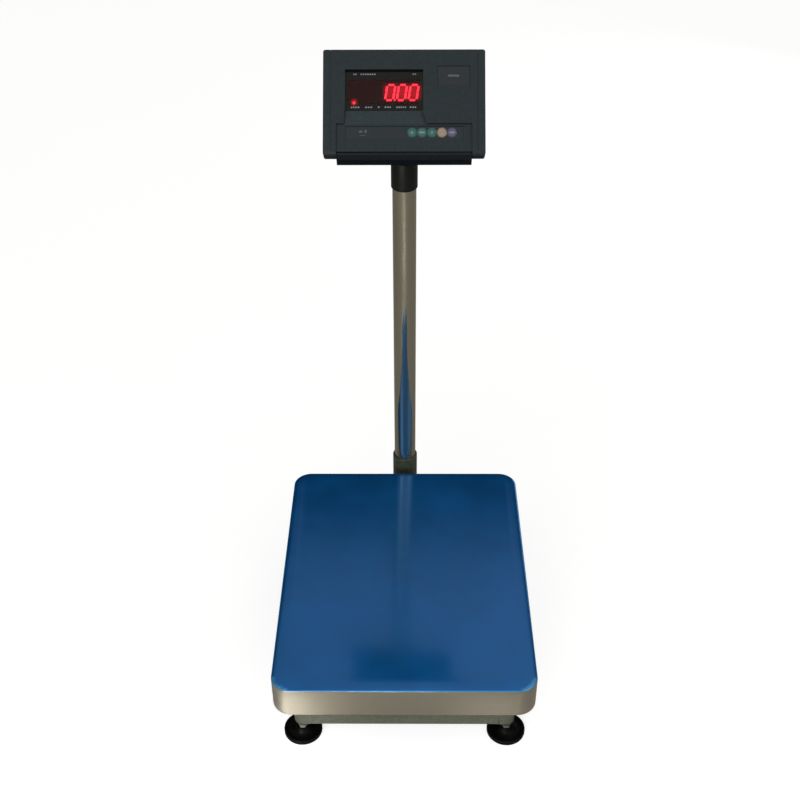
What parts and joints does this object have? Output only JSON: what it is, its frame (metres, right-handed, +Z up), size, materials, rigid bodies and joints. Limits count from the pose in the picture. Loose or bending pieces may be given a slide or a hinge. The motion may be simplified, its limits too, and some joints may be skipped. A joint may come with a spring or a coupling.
{
  "type": "bench scale",
  "caption": "Bench weighing scale: steel pan on a levelling frame with a load cell, and a swivelling keypad and digit display on a rear column.",
  "frame": {"origin": "floor level at the centre of the footprint box that holds the pan and the indicator", "axes": "+Z up along the column, +X to the right of the person facing the display, +Y away from that person"},
  "size_m": [0.4, 0.6086, 0.9078],
  "materials": {
    "frame_paint": "satin grey-green paint",
    "socket_paint": "satin dark grey-green paint",
    "zinc": "zinc plate",
    "column_steel": "polished tube",
    "black_plastic": "moulded, fine texture",
    "alloy": "machined",
    "spacer_steel": "plain",
    "buffer_rubber": "matte",
    "level_metal": "bright",
    "level_glass": "clear, tinted fluid",
    "cable_black": "smooth jacket",
    "pan_steel": "brushed",
    "film_blue": "glossy film",
    "foot_plastic": "moulded",
    "case_slate": "moulded, fine texture",
    "window_dark": "smoked red window",
    "circuit_board": "solder mask",
    "lit_red": "lit segments",
    "overlay_slate": "printed film",
    "badge_slate": "blank plate",
    "battery_case": "moulded",
    "transformer_core": "varnished",
    "key_green": "printed",
    "key_orange": "printed",
    "key_purple": "printed",
    "rocker_red": "moulded"
  },
  "bodies": {
    "base": {"lower_rail_left": "frame_paint", "lower_rail_right": "frame_paint", "lower_rail_front": "frame_paint", "lower_rail_rear": "frame_paint", "lower_cell_beam": "frame_paint", "foot_bosses": "zinc", "foot_lock_nuts": "zinc", "column_bracket": "frame_paint", "column_socket": "socket_paint", "socket_screws": "zinc", "column_tube": "column_steel", "column_cap": "black_plastic", "load_cell": "alloy", "cell_spacers": "spacer_steel", "cell_bolts": "zinc", "upper_cross_beam": "frame_paint", "upper_rail_left": "frame_paint", "upper_rail_right": "frame_paint", "pan_buffers": "buffer_rubber", "stop_screws": "zinc", "stop_nuts": "zinc", "level_body": "level_metal", "level_vial": "level_glass", "signal_cable": "cable_black"},
    "pan": {"pan": "pan_steel", "pan_film": "film_blue"},
    "foot_front_left": {"foot_pad_fl": "foot_plastic"},
    "stud_front_left": {"foot_stud_fl": "zinc"},
    "foot_front_right": {"foot_pad_fr": "foot_plastic"},
    "stud_front_right": {"foot_stud_fr": "zinc"},
    "foot_rear_left": {"foot_pad_rl": "foot_plastic"},
    "stud_rear_left": {"foot_stud_rl": "zinc"},
    "foot_rear_right": {"foot_pad_rr": "foot_plastic"},
    "stud_rear_right": {"foot_stud_rr": "zinc"},
    "head": {"swivel_spigot": "black_plastic", "spigot_nut": "zinc", "head_tray": "case_slate", "front_case": "case_slate", "rear_case": "case_slate", "case_screws": "zinc", "battery_cover": "case_slate", "display_lens": "window_dark", "display_board": "circuit_board", "display_modules": "black_plastic", "display_digits": "lit_red", "keypad_overlay": "overlay_slate", "key_board": "circuit_board", "name_badge": "badge_slate", "main_board": "circuit_board", "battery": "battery_case", "transformer": "transformer_core", "power_inlet": "black_plastic", "signal_socket": "zinc", "switch_frame": "black_plastic"},
    "key_1": {"key_1": "key_green"},
    "key_2": {"key_2": "key_green"},
    "key_3": {"key_3": "key_green"},
    "key_4": {"key_4": "key_orange"},
    "key_5": {"key_5": "key_purple"},
    "power_rocker": {"switch_rocker": "rocker_red"}
  },
  "joints": [
    {"name": "pan_lift", "type": "slide", "parent": "base", "child": "pan", "axis": [0, 0, 1], "range_m": [0, 0.08]},
    {"name": "foot_height_front_left", "type": "slide", "parent": "base", "child": "foot_front_left", "axis": [0, 0, 1], "range_m": [-0.012, 0.003]},
    {"name": "stud_turn_front_left", "type": "hinge", "parent": "foot_front_left", "child": "stud_front_left", "pos_m": [-0.16, -0.25825, 0.02], "axis": [0, 0, 1], "continuous": true},
    {"name": "foot_height_front_right", "type": "slide", "parent": "base", "child": "foot_front_right", "axis": [0, 0, 1], "range_m": [-0.012, 0.003]},
    {"name": "stud_turn_front_right", "type": "hinge", "parent": "foot_front_right", "child": "stud_front_right", "pos_m": [0.16, -0.25825, 0.02], "axis": [0, 0, 1], "continuous": true},
    {"name": "foot_height_rear_left", "type": "slide", "parent": "base", "child": "foot_rear_left", "axis": [0, 0, 1], "range_m": [-0.012, 0.003]},
    {"name": "stud_turn_rear_left", "type": "hinge", "parent": "foot_rear_left", "child": "stud_rear_left", "pos_m": [-0.16, 0.14975, 0.02], "axis": [0, 0, 1], "continuous": true},
    {"name": "foot_height_rear_right", "type": "slide", "parent": "base", "child": "foot_rear_right", "axis": [0, 0, 1], "range_m": [-0.012, 0.003]},
    {"name": "stud_turn_rear_right", "type": "hinge", "parent": "foot_rear_right", "child": "stud_rear_right", "pos_m": [0.16, 0.14975, 0.02], "axis": [0, 0, 1], "continuous": true},
    {"name": "head_swivel", "type": "hinge", "parent": "base", "child": "head", "pos_m": [0, 0.23375, 0.765], "axis": [0, 0, 1], "range_deg": [-90, 90]},
    {"name": "key_1_press", "type": "slide", "parent": "head", "child": "key_1", "axis": [0, 0.766, -0.6428], "range_m": [0, 0.0005], "stiffness_N_per_m": 800, "springref_m": -0.0015},
    {"name": "key_2_press", "type": "slide", "parent": "head", "child": "key_2", "axis": [0, 0.766, -0.6428], "range_m": [0, 0.0005], "stiffness_N_per_m": 800, "springref_m": -0.0015},
    {"name": "key_3_press", "type": "slide", "parent": "head", "child": "key_3", "axis": [0, 0.766, -0.6428], "range_m": [0, 0.0005], "stiffness_N_per_m": 800, "springref_m": -0.0015},
    {"name": "key_4_press", "type": "slide", "parent": "head", "child": "key_4", "axis": [0, 0.766, -0.6428], "range_m": [0, 0.0005], "stiffness_N_per_m": 800, "springref_m": -0.0015},
    {"name": "key_5_press", "type": "slide", "parent": "head", "child": "key_5", "axis": [0, 0.766, -0.6428], "range_m": [0, 0.0005], "stiffness_N_per_m": 800, "springref_m": -0.0015},
    {"name": "power_rocker", "type": "hinge", "parent": "head", "child": "power_rocker", "pos_m": [0.04, 0.29575, 0.84], "axis": [1, 0, 0], "range_deg": [-14, 0]}
  ],
  "couplings": [
    {"joint": "stud_turn_front_left", "follows": "foot_height_front_left", "rad_per_m": 3590.4},
    {"joint": "stud_turn_front_right", "follows": "foot_height_front_right", "rad_per_m": 3590.4},
    {"joint": "stud_turn_rear_left", "follows": "foot_height_rear_left", "rad_per_m": 3590.4},
    {"joint": "stud_turn_rear_right", "follows": "foot_height_rear_right", "rad_per_m": 3590.4}
  ]
}
